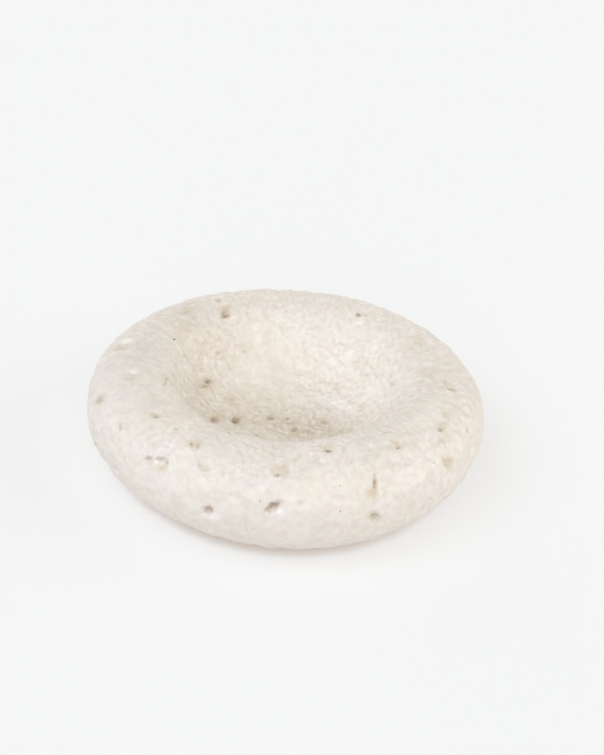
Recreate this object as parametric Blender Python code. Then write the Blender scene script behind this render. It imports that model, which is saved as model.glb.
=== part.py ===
"""Hand-shaped ceramic bowl with a thick, hollow, doughnut-like rim, standing on four felt discs.

Metres, +Z up. The origin is on the ground, under the middle of the bowl. The front is -Y.
"""

import math

import bmesh
import bpy
from mathutils import Matrix, Vector
from mathutils.geometry import interpolate_bezier

# Bowl outline. Heights are measured from the plane of its foot
OUTER_RADIUS = 0.100
EQUATOR_HEIGHT = 0.0245
CREST_RADIUS = 0.0745
CREST_HEIGHT = 0.0485
SLOPE_RADIUS = 0.0500
SLOPE_HEIGHT = 0.0330
SLOPE_DEGREES = 54.0
BASIN_HEIGHT = 0.0155

# Foot band, the recess within it, the clay's thickness, and the vent's place from the hollow's inner side
FOOT_OUTER_RADIUS = 0.076
FOOT_INNER_RADIUS = 0.062
RECESS_DEPTH = 0.004
RECESS_SLOPE = 0.002
WALL = 0.0065
VENT_RADIUS = 0.0020
VENT_LAND = 0.0005

# Felt discs stuck under the foot band
FELT_COUNT = 4
FELT_RADIUS = 0.006
FELT_THICKNESS = 0.0015
FELT_EDGE = 0.0003
FELT_START_DEGREES = 45.0
SEAT_GAP = 0.0003

# Craters in the glazed face. Each lies on a stretch of the outline, a share of the way along it and so many
# degrees around, and has shares of the full width around the ring, of that along the outline, and of the depth
CRATER_WIDTH = 0.0095
CRATER_DEPTH = 0.0016
CRATERS_shares = (
    ("shoulder", 0.23, -92, 1.00, 0.95, 1.00),
    ("shoulder", 0.02, -110, 0.85, 0.80, 0.90),
    ("shoulder", 0.02, -64, 0.85, 0.85, 0.80),
    ("shoulder", 0.38, -63, 0.40, 1.15, 0.75),
    ("shoulder", 0.36, -130, 0.70, 0.75, 0.70),
    ("shoulder", 0.37, -127, 0.70, 0.75, 0.70),
    ("shoulder", 0.28, -34, 0.65, 0.95, 0.60),
    ("shoulder", 0.86, -3, 1.00, 0.55, 0.50),
    ("shoulder", 0.72, -90, 1.25, 1.00, 0.45),
    ("shoulder", 0.59, -114, 0.65, 0.75, 0.45),
    ("shoulder", 0.39, -164, 0.75, 0.85, 0.45),
    ("shoulder", 0.79, -50, 0.65, 0.55, 0.55),
    ("lip", 0.26, 123, 0.85, 0.70, 0.85),
    ("lip", 0.42, -166, 0.50, 1.15, 0.45),
    ("basin", 0.18, 163, 0.70, 0.70, 0.75),
    ("basin", 0.43, -164, 0.80, 0.65, 0.70),
    ("basin", 0.66, -168, 0.70, 0.65, 0.75),
    ("basin", 0.74, 5, 0.75, 0.65, 0.50),
    ("shoulder", 0.05, 20, 0.80, 0.70, 0.65),
    ("shoulder", 0.45, 42, 0.65, 0.75, 0.60),
    ("shoulder", 0.22, 72, 0.85, 0.75, 0.80),
    ("side", 0.88, 98, 0.75, 0.60, 0.60),
    ("shoulder", 0.40, 121, 0.65, 0.80, 0.70),
    ("shoulder", 0.08, 155, 0.80, 0.65, 0.65),
)
# How far the cutting ball of a crater sinks into the clay, of its own half height
CRATER_SINK_share = 0.5

# How the hand-shaped ring strays from a true one: lobes around, share of the size, where the first lobe lies
RADIUS_LOBES_shares = ((2, 0.005, -24.0), (3, 0.004, 25.0), (4, 0.008, 11.0))
HEIGHT_LOBES_shares = ((1, 0.020, -65.0), (2, 0.008, -37.0), (3, 0.033, 50.0))

# Handle lengths of a round quarter, of the straight foot of the basin's wall, and of its flat middle
QUARTER_share = 0.5523
STRAIGHT_share = 0.80
FLAT_share = 0.60

# How finely each form is divided, from which angle an edge is sharp, and which points are one
ARC_POINTS = 8
RING_STEPS = 96
HOLLOW_ARC_POINTS = 5
HOLLOW_STEPS = 48
VENT_STEPS = 24
FELT_STEPS = 24
FELT_EDGE_STEPS = 2
CRATER_STEPS = 12
CRATER_RINGS = 9
PLACE_STEPS = 100
SHARP_DEGREES = 40.0
MERGE_DISTANCE = 0.00003

FOOT_PLANE = FELT_THICKNESS + SEAT_GAP

# Colours in linear light, and how rough each material is
GLAZE_COLOUR = (0.80, 0.745, 0.665, 1.0)
GLAZE_ROUGHNESS = 0.22
FELT_COLOUR = (0.62, 0.57, 0.49, 1.0)
FELT_ROUGHNESS = 0.95


def clear_scene():
    for item in list(bpy.data.objects):
        bpy.data.objects.remove(item, do_unlink=True)


def material(name, colour, roughness):
    made = bpy.data.materials.new(name)
    made.use_nodes = True
    shader = made.node_tree.nodes["Principled BSDF"]
    shader.inputs["Base Color"].default_value = colour
    shader.inputs["Roughness"].default_value = roughness
    shader.inputs["Metallic"].default_value = 0.0
    made.diffuse_color = colour
    return made


def arc(corners, points):
    """Points (radius, height) of one curved stretch of an outline, without its last one."""
    corners = [Vector((x, y, 0)) for x, y in corners]
    return [(p.x, p.y) for p in interpolate_bezier(*corners, points + 1)][:-1]


def slope_direction():
    """The way up the basin's wall at its steepest: outwards and up."""
    slope = math.radians(SLOPE_DEGREES)
    return math.cos(slope), math.sin(slope)


def along(point, length):
    """A point this far up the basin's wall from another, or down it where the length is negative."""
    out, up = slope_direction()
    return point[0] + out * length, point[1] + up * length


def bowl_curves():
    """Ends and handles of the outline's curved stretches, from the foot round the rim into the basin."""
    quarter = QUARTER_share
    foot = (FOOT_OUTER_RADIUS, 0)
    equator = (OUTER_RADIUS, EQUATOR_HEIGHT)
    crest = (CREST_RADIUS, CREST_HEIGHT)
    slope = (SLOPE_RADIUS, SLOPE_HEIGHT)
    middle = (0, BASIN_HEIGHT)
    rise = (CREST_HEIGHT - SLOPE_HEIGHT) * quarter
    drop = (SLOPE_HEIGHT - BASIN_HEIGHT) * STRAIGHT_share
    return {
        "side": (foot, (foot[0] + (equator[0] - foot[0]) * quarter, foot[1]),
                 (equator[0], equator[1] * (1 - quarter)), equator),
        "shoulder": (equator, (equator[0], equator[1] + (crest[1] - equator[1]) * quarter),
                     (crest[0] + (equator[0] - crest[0]) * quarter, crest[1]), crest),
        "lip": (crest, (crest[0] - (crest[0] - slope[0]) * quarter, crest[1]), along(slope, rise), slope),
        "basin": (slope, along(slope, -drop), (slope[0] * FLAT_share, middle[1]), middle),
    }


def bowl_outline():
    """Half a section of the bowl, from the middle of its underside round the rim to the middle of the basin."""
    outline = [(0, RECESS_DEPTH), (FOOT_INNER_RADIUS - RECESS_SLOPE, RECESS_DEPTH), (FOOT_INNER_RADIUS, 0)]
    for corners in bowl_curves().values():
        outline += arc(corners, ARC_POINTS)
    return outline + [(0, BASIN_HEIGHT)]


def hollow_outline():
    """Closed section of the hollow inside the rim, one wall in from the bowl's faces."""
    quarter = QUARTER_share
    out, up = slope_direction()
    low = ((FOOT_INNER_RADIUS + FOOT_OUTER_RADIUS) / 2, WALL)
    side = (OUTER_RADIUS - WALL, EQUATOR_HEIGHT)
    top = (CREST_RADIUS, CREST_HEIGHT - WALL)
    inner = (SLOPE_RADIUS + WALL * up, SLOPE_HEIGHT - WALL * out)
    rise = (top[1] - inner[1]) * quarter
    drop = (inner[1] - low[1]) * quarter
    curves = (
        (low, (low[0] + (side[0] - low[0]) * quarter, low[1]),
         (side[0], low[1] + (side[1] - low[1]) * (1 - quarter)), side),
        (side, (side[0], side[1] + (top[1] - side[1]) * quarter),
         (top[0] + (side[0] - top[0]) * quarter, top[1]), top),
        (top, (top[0] - (top[0] - inner[0]) * quarter, top[1]), along(inner, rise), inner),
        (inner, along(inner, -drop), (inner[0], low[1]), low),
    )
    return [point for corners in curves for point in arc(corners, HOLLOW_ARC_POINTS)]


def lobes(shares, angle):
    return sum(share * math.cos(count * (angle - math.radians(first))) for count, share, first in shares)


def by_hand(point):
    """Where the hand-shaped clay puts a point of the true ring. The foot's plane stays flat."""
    angle = math.atan2(point.y, point.x)
    wider = 1 + lobes(RADIUS_LOBES_shares, angle)
    higher = 1 + lobes(HEIGHT_LOBES_shares, angle) * point.z / CREST_HEIGHT
    return Vector((point.x * wider, point.y * wider, point.z * higher))


def turned(name, outline, steps, closed):
    """Mesh of a section spun about the Z axis, then shaped by hand, with its faces out."""
    form = bmesh.new()
    ring = [form.verts.new((radius, 0, height)) for radius, height in outline]
    edges = [form.edges.new(pair) for pair in zip(ring, ring[1:])]
    if closed:
        edges.append(form.edges.new((ring[-1], ring[0])))
    bmesh.ops.spin(form, geom=ring + edges, cent=(0, 0, 0), axis=(0, 0, 1),
                   angle=math.tau, steps=steps, use_merge=True)
    bmesh.ops.remove_doubles(form, verts=form.verts, dist=MERGE_DISTANCE)
    for vertex in form.verts:
        vertex.co = by_hand(vertex.co)
    bmesh.ops.recalc_face_normals(form, faces=form.faces)
    mesh = bpy.data.meshes.new(name)
    form.to_mesh(mesh)
    form.free()
    return mesh


def placed(name, mesh, location):
    item = bpy.data.objects.new(name, mesh)
    item.location = location
    bpy.context.scene.collection.objects.link(item)
    return item


def cutter(name, mesh, location):
    item = placed(name, mesh, location)
    item.hide_render = True
    item.display_type = "WIRE"
    return item


def cut(item, tool):
    change = item.modifiers.new(tool.name, "BOOLEAN")
    change.operation = "DIFFERENCE"
    change.solver = "EXACT"
    change.use_self = True
    change.object = tool


def rod(name, radius, length, steps):
    """Mesh of a plain upright rod about its own middle."""
    form = bmesh.new()
    bmesh.ops.create_cone(form, cap_ends=True, segments=steps, radius1=radius, radius2=radius, depth=length)
    mesh = bpy.data.meshes.new(name)
    form.to_mesh(mesh)
    form.free()
    return mesh


def vent_cutter():
    """The round hole through the underside into the hollow, which lets the air out in the kiln."""
    innermost = min(radius for radius, height in hollow_outline())
    reach = SLOPE_HEIGHT - WALL
    mesh = rod("vent_hole", VENT_RADIUS, reach, VENT_STEPS)
    return cutter("vent_hole", mesh, (innermost + VENT_LAND + VENT_RADIUS, 0, FOOT_PLANE))


def on_skin(stretch, share, degrees):
    """A place on the bowl's outer face, and the ways around the ring, on along the outline and out of the clay."""
    points = arc(bowl_curves()[stretch], PLACE_STEPS)
    turn = Matrix.Rotation(math.radians(degrees), 3, "Z")
    middle = round(share * PLACE_STEPS)
    before, place, after = (by_hand(turn @ Vector((points[i][0], 0, points[i][1])))
                            for i in (middle - 1, middle, middle + 1))
    around = turn @ Vector((0, 1, 0))
    on = (after - before).normalized()
    return place, around, on, around.cross(on).normalized()


def crater_cutter():
    """Balls pressed flat, one for each crater, that sink a little way into the bowl's outer face."""
    form = bmesh.new()
    wider = 1 / math.sqrt(1 - (1 - CRATER_SINK_share) ** 2)
    for stretch, share, degrees, width_around, width_along, depth_share in CRATERS_shares:
        place, around, on, out = on_skin(stretch, share, degrees)
        depth = CRATER_DEPTH * depth_share
        half_height = depth / CRATER_SINK_share
        lift = Matrix.Translation(place + out * (half_height - depth))
        turn = Matrix((around, on, out)).transposed().to_4x4()
        size = Matrix.Diagonal((CRATER_WIDTH / 2 * width_around * wider,
                                CRATER_WIDTH / 2 * width_along * wider, half_height, 1))
        bmesh.ops.create_uvsphere(form, u_segments=CRATER_STEPS, v_segments=CRATER_RINGS, radius=1,
                                  matrix=lift @ turn @ size)
    mesh = bpy.data.meshes.new("craters")
    form.to_mesh(mesh)
    form.free()
    mesh.shade_smooth()
    return cutter("craters", mesh, (0, 0, FOOT_PLANE))


def bowl_body(glaze):
    body = placed("bowl_body", turned("bowl_body", bowl_outline(), RING_STEPS, False), (0, 0, FOOT_PLANE))
    body.data.materials.append(glaze)
    hollow = turned("rim_hollow", hollow_outline(), HOLLOW_STEPS, True)
    cut(body, cutter("rim_hollow", hollow, (0, 0, FOOT_PLANE)))
    cut(body, vent_cutter())
    cut(body, crater_cutter())
    body.data.shade_smooth()
    body.data.set_sharp_from_angle(angle=math.radians(SHARP_DEGREES))
    return body


def felt_foot(number, mesh):
    """One felt disc, centred under the foot band."""
    middle = (FOOT_INNER_RADIUS + FOOT_OUTER_RADIUS) / 2
    angle = math.radians(FELT_START_DEGREES) + math.tau * (number - 1) / FELT_COUNT
    middle *= 1 + lobes(RADIUS_LOBES_shares, angle)
    place = (middle * math.cos(angle), middle * math.sin(angle), FELT_THICKNESS / 2)
    foot = placed(f"felt_foot_{number}", mesh, place)
    edge = foot.modifiers.new("soft_edge", "BEVEL")
    edge.width = FELT_EDGE
    edge.segments = FELT_EDGE_STEPS
    return foot


def felt_feet(felt):
    mesh = rod("felt_disc", FELT_RADIUS, FELT_THICKNESS, FELT_STEPS)
    mesh.materials.append(felt)
    mesh.shade_smooth()
    mesh.set_sharp_from_angle(angle=math.radians(SHARP_DEGREES))
    for number in range(1, FELT_COUNT + 1):
        felt_foot(number, mesh)


def main():
    clear_scene()
    bowl_body(material("cream_glaze", GLAZE_COLOUR, GLAZE_ROUGHNESS))
    felt_feet(material("felt", FELT_COLOUR, FELT_ROUGHNESS))


main()
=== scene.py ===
"""Looks of a hand-shaped ceramic bowl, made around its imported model.

Metres, +Z up, in the frame of the model. The front is -Y. The bowl's skin is made again as a fine mesh
on the same outline, and the marks of hand and kiln are pressed into it: dents, worms, craters, pinholes.
"""

import itertools
import math

import bmesh
import bpy
import numpy as np
from mathutils import Matrix, Vector
from mathutils.geometry import interpolate_bezier

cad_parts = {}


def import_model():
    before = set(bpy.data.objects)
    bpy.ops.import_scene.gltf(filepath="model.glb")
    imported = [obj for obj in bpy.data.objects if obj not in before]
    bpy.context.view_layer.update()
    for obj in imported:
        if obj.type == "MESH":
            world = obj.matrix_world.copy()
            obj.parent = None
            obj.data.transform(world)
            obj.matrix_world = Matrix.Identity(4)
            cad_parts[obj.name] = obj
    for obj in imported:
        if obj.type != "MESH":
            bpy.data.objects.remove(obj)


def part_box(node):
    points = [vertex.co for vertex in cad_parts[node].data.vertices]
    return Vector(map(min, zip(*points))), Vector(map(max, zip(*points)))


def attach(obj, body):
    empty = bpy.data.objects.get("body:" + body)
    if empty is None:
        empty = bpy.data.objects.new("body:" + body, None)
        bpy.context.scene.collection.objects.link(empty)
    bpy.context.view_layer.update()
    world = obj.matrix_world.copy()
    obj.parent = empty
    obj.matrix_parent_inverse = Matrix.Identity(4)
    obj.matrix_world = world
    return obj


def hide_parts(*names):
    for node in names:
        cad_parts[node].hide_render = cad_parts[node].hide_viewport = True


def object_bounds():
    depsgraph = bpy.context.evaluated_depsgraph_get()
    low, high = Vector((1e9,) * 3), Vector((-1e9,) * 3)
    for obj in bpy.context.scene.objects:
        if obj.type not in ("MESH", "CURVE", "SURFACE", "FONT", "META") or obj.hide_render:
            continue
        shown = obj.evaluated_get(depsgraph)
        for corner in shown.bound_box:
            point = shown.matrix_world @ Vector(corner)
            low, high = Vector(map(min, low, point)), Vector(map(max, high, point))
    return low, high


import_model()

CAD_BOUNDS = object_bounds()

MM = 0.001

# Bowl outline, as the model has it. Heights are measured from the plane of its foot
OUTER_RADIUS = 100.0 * MM
EQUATOR_HEIGHT = 24.5 * MM
CREST_RADIUS = 74.5 * MM
CREST_HEIGHT = 48.5 * MM
SLOPE_RADIUS = 50.0 * MM
SLOPE_HEIGHT = 33.0 * MM
SLOPE_DEGREES = 54.0
BASIN_HEIGHT = 15.5 * MM
FOOT_OUTER_RADIUS = 76.0 * MM
FOOT_INNER_RADIUS = 62.0 * MM
RECESS_DEPTH = 4.0 * MM
RECESS_SLOPE = 2.0 * MM
WALL = 6.5 * MM
VENT_RADIUS = 2.0 * MM
VENT_LAND = 0.5 * MM
RADIUS_LOBES_shares = ((2, 0.005, -24.0), (3, 0.004, 25.0), (4, 0.008, 11.0))
HEIGHT_LOBES_shares = ((1, 0.020, -65.0), (2, 0.008, -37.0), (3, 0.033, 50.0))
QUARTER_share = 0.5523
STRAIGHT_share = 0.80
FLAT_share = 0.60
CORNER_ROUND = 1.0 * MM
FOOT_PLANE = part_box("bowl_body")[0].z
BOX_CLEARANCE = 0.03 * MM
SLIGHT_share = 0.02
FELT_FEET = ("felt_foot_1", "felt_foot_2", "felt_foot_3", "felt_foot_4")

# The photograph's frame in pixels, and the camera that fits the bowl's outline in it
FRAME_WIDTH_px = 604
FRAME_HEIGHT_px = 755
AIM_px = (286.1, 407.8)
AIM_HEIGHT = FOOT_PLANE + 24.1 * MM
CAMERA_DISTANCE = 900.0 * MM
CAMERA_ELEVATION_DEGREES = 33.55
CAMERA_ROLL_DEGREES = 4.27
LENS_mm = 83.92
SENSOR_mm = 36.0
FOCAL_px = LENS_mm / SENSOR_mm * FRAME_HEIGHT_px

# Soft lamps around the bowl: azimuth (0 is the front, 90 the right), elevation, strength, spread in degrees,
# colour
LAMPS = {
    "key_left": (-65, 50, 0.58, 40, (0.903, 1.026, 1.072)),
    "overhead_left": (-30, 60, 1.23, 90, (0.972, 1.020, 1.008)),
    "fill_left": (-90, 15, 0.22, 50, (0.725, 0.911, 1.364)),
    "fill_front": (0, 30, 0.70, 50, (0.987, 0.964, 1.048)),
    "fill_right": (90, 18, 1.30, 50, (0.992, 1.011, 0.997)),
    "fill_back_right": (140, 20, 0.32, 60, (1.073, 1.021, 0.905)),
    "fill_back_left": (-140, 20, 0.63, 60, (1.049, 0.981, 0.970)),
}
ROOM_LIGHT = 0.12
WHITE_LIGHT = 0.92
FLOOR_RADIUS = 20.0
FLOOR_WHITE = (0.90, 0.90, 0.90, 1.0)
FLOOR_SHOWN = (0.378, 0.378, 0.378, 1.0)
FLOOR_LIFT = (0.560, 0.554, 0.550, 1.0)
# Painted contact shadow: the floor's lift turns to this darker, warmer colour where it is occluded close to the
# bowl
PAINTED_CONTACT_SHADOW = (0.420, 0.350, 0.300, 1.0)
CONTACT_REACH = 5.5 * MM
CONTACT_SAMPLES = 4

# Fine mesh: spacing of its rings along the outline, and of its points around a ring
FINE_STEP = 0.55 * MM
FOOT_STEP = 0.90 * MM
UNDER_STEP = 2.0 * MM
AROUND_share = 1.2
MOST_AROUND = 1024
LEAST_AROUND = 8
OUTLINE_POINTS = 240
HOLLOW_STEPS = 96
HOLLOW_POINTS = 16
VENT_STEPS = 32
SKIN_UV_share = 0.9
NO_ANGLE = 0.25

# Relief under the glaze, from wide to fine: size of its cells and how deep it goes
SEED = 20
SWELL_CELL = 26.0 * MM
SWELL_DEPTH = 0.60 * MM
DENT_CELL = 7.0 * MM
DENT_DEPTH = 1.80 * MM
LUMP_CELL = 3.6 * MM
LUMP_DEPTH = 1.15 * MM
GRAIN_CELL = 1.5 * MM
GRAIN_DEPTH = 0.52 * MM
BEND_CELL = 4.0 * MM
BEND = 1.3 * MM
RELIEF_START = 5.0 * MM
RELIEF_RISE = 2.00 * MM
CALM_DEPTH = 1.2 * MM
MOST_CALM_share = 0.9
NOISE_COUNT = 11
# What the lower side keeps of the lumps and the grain, its lowest part of the wide forms, and how much
# painted shade darkens the hollows where there are neither worms nor combed lines
LUMP_SIDE_share = 0.55
GRAIN_SIDE_share = 0.45
LOW_WIDE_share = 0.30
PLAIN_HOLLOW_SHADE_share = 0.60

# Fine relief by place: ripples around the lower side, combed lines over two parts of the rim, worms
# elsewhere. The shares say where a stretch of the outline has them, and how calm its surface is
RIPPLE_AROUND = 9.0 * MM
RIPPLE_ALONG = 2.4 * MM
RIPPLE_DEPTH = 0.30 * MM
COMB_ACROSS = 2.1 * MM
COMB_ALONG = 4.6 * MM
COMB_DEPTH = 0.50 * MM
COMB_RADIUS = 75.0 * MM
COMBED_DEGREES = ((-8.0, 48.0), (168.0, 40.0))
WORM_CELL = 2.3 * MM
WORM_DEPTH = 0.95 * MM
RIPPLES_END_shares = (0.05, 0.45)
COMB_START_shares = (0.25, 0.65)
COMB_END_shares = (0.30, 0.80)
SIDE_WORM_share = 0.12
RIM_WORM_share = 0.80
FLOOR_WORM_share = 0.75
PIT_DEEPER_share = 1.6

# Felt discs under the foot
FELT_STEPS = 96
FELT_RINGS = 20
FELT_ROUND = 0.45 * MM
FELT_ROUND_STEPS = 6
FELT_CELL = 0.8 * MM
FELT_UNEVEN_share = 0.06

# Glaze line above the foot band
GLAZE_LINE = 2.0 * MM
GLAZE_WAVER = 1.0 * MM
GLAZE_EDGE = 0.4 * MM
GLAZE_THICKNESS = 0.15 * MM

# Hollows in the photograph: middle, half width and half height in its pixels, lean in degrees, depth in mm
PITS_px_mm = (
    (272, 508, 10.0, 7.5, 20, 1.9), (208, 511, 7.5, 6.5, 0, 1.6), (150, 461, 5.5, 6.5, 0, 1.1),
    (161.5, 464, 7.5, 7.5, 0, 1.3), (374, 517, 8.0, 6.5, 0, 1.4), (374.5, 484, 2.6, 10.0, 0, 1.1),
    (372, 493, 6.0, 6.5, 0, 0.8), (448.5, 462, 6.0, 8.0, 20, 1.0), (277, 469, 6.0, 5.0, 0, 0.7),
    (284.5, 468, 5.0, 9.0, 0, 0.7), (277.5, 475, 3.0, 2.6, 0, 0.8), (204, 466, 7.5, 7.0, 0, 0.9),
    (225, 313, 6.5, 6.0, 0, 1.5), (218, 300, 3.5, 3.0, 0, 0.7), (186, 311, 7.0, 2.6, 5, 0.6),
    (122, 347, 9.0, 3.4, 5, 0.7), (128, 377, 8.0, 3.0, 0, 0.5), (218, 352, 5.0, 4.5, 0, 0.6),
    (167, 379, 4.0, 6.5, -15, 0.7), (171, 387, 3.0, 6.0, -20, 0.5), (207.5, 382, 4.5, 4.0, 20, 1.2),
    (203.5, 387, 5.5, 4.0, 0, 0.9), (232, 398, 6.0, 5.0, 0, 0.8), (100.5, 400.5, 5.0, 6.5, 0, 1.0),
    (121, 427, 3.5, 6.5, 0, 0.7), (215, 419, 6.0, 4.5, 0, 1.3), (236, 420, 6.5, 5.0, 0, 1.4),
    (272, 418, 5.0, 3.0, 0, 0.8), (294.5, 430, 6.0, 4.0, 0, 0.9), (324.5, 421.5, 7.5, 5.0, 0, 0.9),
    (328, 450, 5.5, 3.6, -8, 1.0), (195, 444, 8.0, 4.0, 0, 0.7), (358.5, 314.5, 3.6, 3.2, 0, 1.2),
    (366, 314, 2.5, 2.4, 0, 0.5), (390, 339, 3.5, 3.0, 0, 0.6), (417, 341, 6.0, 3.2, 0, 0.6),
    (450, 387, 8.0, 3.2, -25, 0.9), (392, 383, 3.6, 3.4, 0, 0.6), (368, 388, 4.5, 4.5, 0, 0.5),
    (358, 358, 5.5, 7.0, 0, 0.5), (441, 429, 5.0, 4.0, 0, 1.0), (467, 429, 3.0, 5.0, 0, 0.5),
    (442, 441, 5.5, 3.4, 0, 0.6), (397, 447, 6.0, 4.0, 0, 0.9), (385, 433, 7.0, 2.4, 15, 0.6),
    (117, 469, 3.5, 4.0, 0, 0.5), (156, 415, 7.0, 3.0, 0, 0.7), (176, 428, 5.5, 2.6, 0, 0.6),
    (257, 471, 6.0, 5.0, 0, 0.7), (239, 469, 5.5, 5.0, 0, 0.5), (331, 436, 4.0, 2.6, 0, 0.5),
    (430, 497, 5.0, 4.0, 0, 0.6), (357, 464, 4.5, 4.0, 0, 0.5), (301, 375, 5.0, 3.0, 0, 0.4),
    (194, 473, 6.0, 5.0, 0, 0.5), (313, 456, 7.0, 4.0, 10, 0.5), (413, 470, 6.0, 6.0, 0, 0.5),
    (302, 505, 8.0, 5.0, 0, 0.5), (340, 500, 9.0, 5.0, 0, 0.5), (236, 497, 8.0, 6.0, 0, 0.5),
    (329, 406, 26.0, 3.2, -28, 0.8), (250, 384, 14.0, 2.2, 0, 0.4), (345, 398, 5.0, 3.0, 0, 0.5),
)

# Coloured places in the photograph: middle, half width and half height in pixels, lean, how strong. Brown is
# partly pooled glaze and partly painted shade, tan is pooled glaze, and the white places are painted light
# Brown: partly glaze pooled in pits, partly painted shade on the pits' shaded upper sides and on the basin's
# near floor
BROWN_AND_SHADE_px_shares = (
    (274.5, 505.5, 8.0, 4.0, 28, 0.62), (268, 509.5, 4.0, 3.0, 0, 0.30), (208.5, 510, 5.0, 4.2, 0, 0.52),
    (149, 458, 4.0, 2.6, 20, 0.44), (161.5, 458.5, 6.5, 2.2, 0, 0.50), (167.5, 462, 2.2, 4.5, 0, 0.38),
    (374.5, 516.5, 6.0, 4.4, 0, 0.40), (375.2, 482, 1.5, 7.5, 0, 0.50), (444.5, 463, 1.5, 5.0, 15, 0.24),
    (277.7, 475, 3.2, 2.2, 0, 0.60), (225, 315.5, 5.2, 2.6, 0, 0.85), (225, 311, 3.6, 3.6, 0, 0.35),
    (218, 300, 2.4, 2.0, 0, 0.45), (186, 312, 5.0, 1.6, 5, 0.30), (122, 348, 6.0, 1.5, 0, 0.22),
    (128, 379, 5.0, 1.4, 0, 0.25), (218, 353, 3.0, 2.4, 0, 0.35), (166, 381, 1.8, 5.5, -15, 0.40),
    (208, 381.5, 3.4, 3.0, 25, 0.75), (204, 386, 5.0, 2.6, 10, 0.42), (232, 399, 3.2, 2.4, 0, 0.34),
    (99, 401, 3.8, 4.6, 0, 0.42), (121, 429, 2.0, 4.0, 0, 0.26), (214.2, 419.2, 4.2, 2.8, 0, 0.80),
    (235.5, 419.5, 4.6, 3.2, 10, 0.95), (271, 418, 4.0, 1.6, 0, 0.70), (295, 430, 4.0, 2.4, 0, 0.62),
    (324.5, 422, 4.6, 2.4, 0, 0.46), (328.3, 450.4, 4.2, 1.9, -6, 0.85), (191.8, 444, 2.0, 1.9, 0, 0.65),
    (197.5, 445, 2.2, 1.8, 0, 0.55), (358.4, 314.7, 2.9, 2.5, 0, 0.75), (366, 314, 1.8, 1.6, 0, 0.30),
    (451.5, 389, 5.0, 1.7, -25, 0.62), (444, 383, 3.5, 1.2, -40, 0.30), (440.7, 429.8, 3.6, 2.4, 0, 0.66),
    (467, 430, 1.6, 3.4, 0, 0.30), (442, 442, 3.6, 1.6, 0, 0.26), (397.5, 447.6, 3.2, 1.8, 0, 0.60),
    (386, 433, 4.6, 1.2, 15, 0.34), (117, 469, 1.8, 2.4, 0, 0.24), (156, 416, 5.0, 1.5, 0, 0.45),
    (176, 428.5, 3.4, 1.4, 0, 0.36), (392, 384, 2.0, 1.8, 0, 0.26), (204, 470, 5.0, 1.8, 0, 0.34),
    (199.5, 466, 1.8, 4.0, 0, 0.28),
    (257, 434, 2.6, 1.4, 0, 0.40), (331, 436, 2.6, 1.4, 0, 0.34), (358, 360, 2.4, 3.4, 0, 0.16),
    (301, 375, 3.0, 1.2, 0, 0.24), (430, 498, 3.0, 1.6, 0, 0.18), (417, 342, 4.0, 1.4, 0, 0.22),
    (244, 352, 2.4, 1.8, 0, 0.22), (314, 418, 2.2, 1.6, 0, 0.30), (287, 419, 2.0, 1.4, 0, 0.40),
    (256, 422, 5.0, 2.4, 0, 0.26), (341, 430, 4.0, 2.0, 0, 0.24), (310, 433, 4.6, 2.0, 0, 0.30),
)
TAN_px_shares = (
    (269, 511, 7.0, 4.5, 25, 0.40), (162, 468, 7.0, 4.6, 0, 0.70), (150, 463, 4.5, 4.5, 0, 0.40),
    (371.5, 493.5, 6.5, 6.5, 0, 0.80), (375, 485, 3.6, 9.5, 0, 0.75), (373, 517, 7.0, 6.0, 0, 0.40),
    (448.5, 462.5, 6.0, 7.6, 20, 0.95),
    (277, 469, 7.0, 5.5, 0, 0.60), (284.5, 468, 5.0, 8.5, 0, 0.75), (225, 310, 7.0, 7.5, 0, 0.85),
    (218, 300, 4.0, 3.6, 0, 0.50), (186, 309.5, 8.0, 4.0, 5, 0.50), (121, 346, 9.5, 3.4, 5, 0.62),
    (130, 376, 9.0, 3.2, 0, 0.50), (166.5, 377, 4.2, 5.6, -15, 0.55), (206, 384, 9.5, 8.5, 0, 0.65),
    (232, 398, 7.0, 6.0, 0, 0.36), (101, 399, 5.0, 5.6, 0, 0.60), (121, 425, 3.4, 6.0, 0, 0.50),
    (216, 418.5, 8.5, 6.5, 0, 0.80), (237, 420, 9.0, 7.0, 0, 0.85), (272, 418, 7.0, 4.0, 0, 0.55),
    (295, 431, 9.0, 6.0, 0, 0.55), (324.5, 421, 9.0, 6.0, 0, 0.55), (326, 447.5, 8.0, 4.6, 0, 0.60),
    (195, 443.5, 10.0, 5.0, 0, 0.75), (358.5, 314, 4.0, 3.6, 0, 0.30), (448, 385, 9.0, 4.0, -25, 0.60),
    (441.5, 426, 6.5, 5.0, 0, 0.65), (446, 415, 7.0, 5.0, 0, 0.40), (442, 441, 6.0, 3.6, 0, 0.60),
    (396.5, 444, 8.0, 4.6, 0, 0.62), (417, 339, 8.0, 4.0, 0, 0.40), (392, 383, 4.0, 3.6, 0, 0.34),
    (156, 414.5, 8.0, 3.0, 0, 0.62), (204, 466, 5.0, 4.0, 0, 0.45), (257, 471, 4.0, 3.4, 0, 0.28),
    (358, 358, 4.0, 6.0, 0, 0.24), (424, 373, 8.0, 5.0, 0, 0.26), (436, 372, 9.0, 6.0, 0, 0.24),
    (184, 330, 12.0, 9.0, 30, 0.30), (200, 350, 12.0, 12.0, 0, 0.24), (252, 300, 14.0, 5.0, 0, 0.22),
)
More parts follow.
